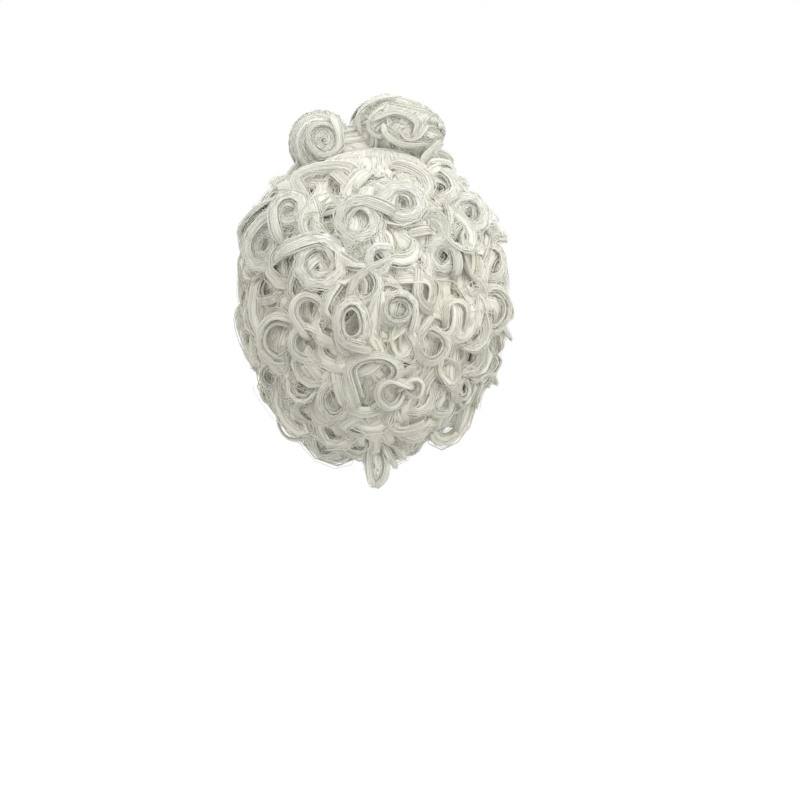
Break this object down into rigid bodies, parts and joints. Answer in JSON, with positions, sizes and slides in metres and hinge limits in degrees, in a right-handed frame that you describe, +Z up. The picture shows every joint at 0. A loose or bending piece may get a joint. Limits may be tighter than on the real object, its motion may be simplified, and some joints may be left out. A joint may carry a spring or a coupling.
{
  "type": "costume wig",
  "caption": "Curly ivory updo costume wig with a two-lobed bun, sewn in rows of ringlets on a stretch cap with hooked nape straps.",
  "frame": {"origin": "inside of the crown of the cap, where the top of the wearer's head bears", "axes": "+Z up, the wearer looks along -Y, the nape is at +Y and the wearer's left is +X"},
  "size_m": [0.1722, 0.2097, 0.25],
  "materials": {
    "curled_hair": "ivory white synthetic hair in satin ringlets",
    "smooth_hair": "ivory white synthetic hair combed straight",
    "lining_tape": "woven cotton tape",
    "stretch_net": "fine stretch net",
    "velvet_band": "soft stretch velvet",
    "weft_tape": "machine sewn weft track",
    "elastic": "woven elastic",
    "hook_plastic": "moulded cream plastic",
    "stay_plastic": "flexible plastic stay",
    "bun_padding": "net covered fibre pad"
  },
  "bodies": {
    "wig_cap": {"crown_patch": "lining_tape", "centre_tape_front": "lining_tape", "centre_tape_back": "lining_tape", "side_tape_left": "lining_tape", "side_tape_right": "lining_tape", "back_tape_left": "lining_tape", "back_tape_right": "lining_tape", "cap_net": "stretch_net", "front_band": "velvet_band", "nape_band": "velvet_band", "ear_tab_left": "velvet_band", "ear_tab_right": "velvet_band", "ear_stay_left": "stay_plastic", "ear_stay_right": "stay_plastic", "casing_left": "velvet_band", "casing_right": "velvet_band", "loops_left": "elastic", "loops_right": "elastic", "crown_sweep": "smooth_hair", "fringe_curls": "curled_hair", "temple_curls_left": "curled_hair", "temple_curls_right": "curled_hair", "nape_lock_curl": "curled_hair", "bun_base_net": "stretch_net", "bun_pad": "bun_padding", "bun_drawstring": "elastic", "bun_lobe_left": "curled_hair", "bun_lobe_right": "curled_hair", "weft_track_1": "weft_tape", "weft_track_2": "weft_tape", "weft_track_3": "weft_tape", "weft_track_4": "weft_tape", "weft_track_5": "weft_tape", "weft_track_6": "weft_tape", "weft_track_7": "weft_tape", "weft_track_8": "weft_tape", "weft_track_9": "weft_tape", "curl_row_1": "curled_hair", "curl_row_2": "curled_hair", "curl_row_3": "curled_hair", "curl_row_4": "curled_hair", "curl_row_5": "curled_hair", "curl_row_6": "curled_hair", "curl_row_7": "curled_hair", "curl_row_8": "curled_hair", "curl_row_9": "curled_hair", "curl_row_10": "curled_hair"},
    "adjuster_left": {"strap_left": "elastic", "hook_left": "hook_plastic"},
    "adjuster_right": {"strap_right": "elastic", "hook_right": "hook_plastic"}
  },
  "joints": [
    {"name": "adjuster_left_slide", "type": "hinge", "parent": "wig_cap", "child": "adjuster_left", "pos_m": [0, 0.03317, -0.15227], "axis": [0, 0, 1], "range_deg": [-9, 18]},
    {"name": "adjuster_right_slide", "type": "hinge", "parent": "wig_cap", "child": "adjuster_right", "pos_m": [0, 0.03317, -0.15227], "axis": [0, 0, 1], "range_deg": [-18, 9]}
  ]
}
